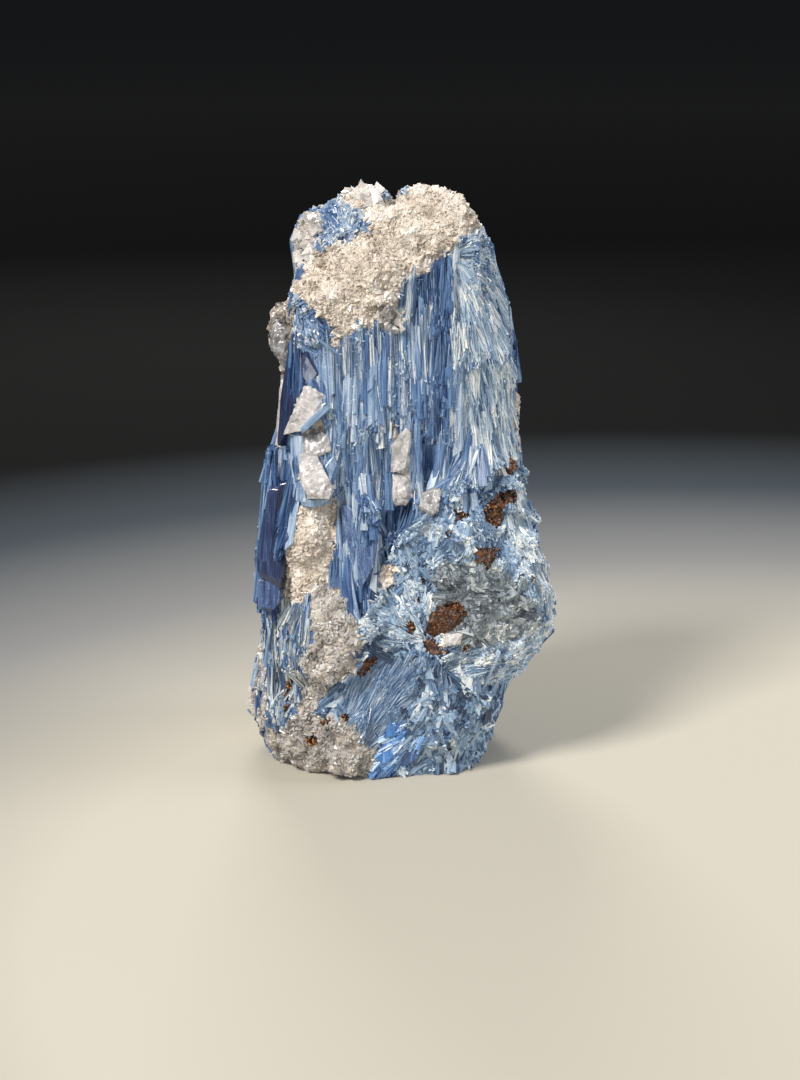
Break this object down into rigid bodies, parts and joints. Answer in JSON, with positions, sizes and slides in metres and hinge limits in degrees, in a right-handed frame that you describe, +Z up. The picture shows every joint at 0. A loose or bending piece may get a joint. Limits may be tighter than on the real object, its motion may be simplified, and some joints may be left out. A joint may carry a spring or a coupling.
{
  "type": "kyanite mineral specimen",
  "caption": "Rough upright chunk of blue bladed kyanite grown through white granular quartz, with rusty stains, that stands on its flat base as a display stone",
  "frame": {"origin": "middle of the base, on the surface that the stone stands on", "axes": "+Z up, -Y is the show face that the picture looks at, +X to the right as seen from there"},
  "size_m": [0.077, 0.0612, 0.142],
  "materials": {
    "kyanite": "bladed, silky to glassy, blue with pale grey-blue edges",
    "quartz": "sugary, translucent, warm white",
    "iron_oxide": "earthy, rusty brown"
  },
  "bodies": {
    "root": {"kyanite_specimen": "kyanite"}
  },
  "joints": []
}
